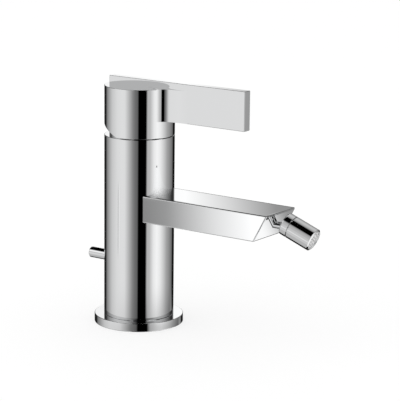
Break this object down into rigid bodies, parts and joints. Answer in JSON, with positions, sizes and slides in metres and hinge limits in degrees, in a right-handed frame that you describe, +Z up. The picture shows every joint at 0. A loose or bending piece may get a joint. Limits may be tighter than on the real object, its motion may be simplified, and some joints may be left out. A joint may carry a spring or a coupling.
{
  "type": "bidet mixer",
  "caption": "Deck-mounted single-lever bidet mixer: round column, flat blade lever, flat spout with swivelling nozzle, rear pull rod.",
  "frame": {"origin": "middle of the flange's underside, on the column's axis, where the mixer stands on its deck", "axes": "+Z up along the column, +X forward along the spout, +Y to the left of someone who looks along the spout from behind"},
  "size_m": [0.1733, 0.0576, 0.1598],
  "materials": {
    "chrome": "polished",
    "raw_brass": "machined",
    "steel": "turned",
    "ceramic": "lapped",
    "plastic": "moulded",
    "rubber": "matt"
  },
  "bodies": {
    "body": {"base_flange": "chrome", "base_seal": "rubber", "body_column": "chrome", "water_core": "raw_brass", "core_o_rings": "rubber", "column_grub_screws": "steel", "spout": "chrome", "spout_spigot": "raw_brass", "spigot_o_ring": "rubber", "cartridge_base": "plastic", "port_seals": "rubber", "cartridge_housing": "plastic", "fixed_ceramic_disc": "ceramic", "cartridge_nut": "raw_brass", "cover_collar": "chrome", "ball_nipple": "chrome", "rod_guide": "plastic"},
    "rotor": {"lever_rotor": "plastic", "pivot_pin": "steel"},
    "lever": {"lever_handle": "chrome", "spindle": "raw_brass", "handle_grub_screw": "steel", "index_plug": "chrome"},
    "disc": {"moving_ceramic_disc": "ceramic", "disc_carrier": "plastic"},
    "rod": {"pull_rod": "steel", "pull_knob": "chrome", "rod_carrier": "plastic"},
    "nozzle_turner": {"ball_seat_ring": "plastic"},
    "nozzle_tipper": {"ball_retainer": "plastic"},
    "nozzle": {"socket_ring": "chrome", "aerator_sleeve": "chrome", "aerator_washer": "rubber", "aerator_insert": "plastic"}
  },
  "joints": [
    {"name": "lever_turn", "type": "hinge", "parent": "body", "child": "rotor", "pos_m": [0, 0, 0.124], "axis": [0, 0, 1], "range_deg": [-50, 50]},
    {"name": "lever_lift", "type": "hinge", "parent": "rotor", "child": "lever", "pos_m": [0, 0, 0.124], "axis": [0, -1, 0], "range_deg": [0, 22]},
    {"name": "disc_slide", "type": "slide", "parent": "rotor", "child": "disc", "axis": [1, 0, 0], "range_m": [0, 0.005]},
    {"name": "rod_lift", "type": "slide", "parent": "body", "child": "rod", "axis": [0, 0, 1], "range_m": [0, 0.02]},
    {"name": "nozzle_turn", "type": "hinge", "parent": "body", "child": "nozzle_turner", "pos_m": [0.11655, 0, 0.07895], "axis": [0, 0, 1], "range_deg": [-13.8, 2.2]},
    {"name": "nozzle_tip", "type": "hinge", "parent": "nozzle_turner", "child": "nozzle_tipper", "pos_m": [0.11655, 0, 0.07895], "axis": [-0.1011, 0.9949, 0], "range_deg": [-45.8, 0.2]},
    {"name": "nozzle_spin", "type": "hinge", "parent": "nozzle_tipper", "child": "nozzle", "pos_m": [0.11655, 0, 0.07895], "axis": [0.9171, 0.0932, -0.3875], "continuous": true}
  ],
  "couplings": [
    {"joint": "disc_slide", "follows": "lever_lift", "m_per_rad": 0.012488}
  ]
}
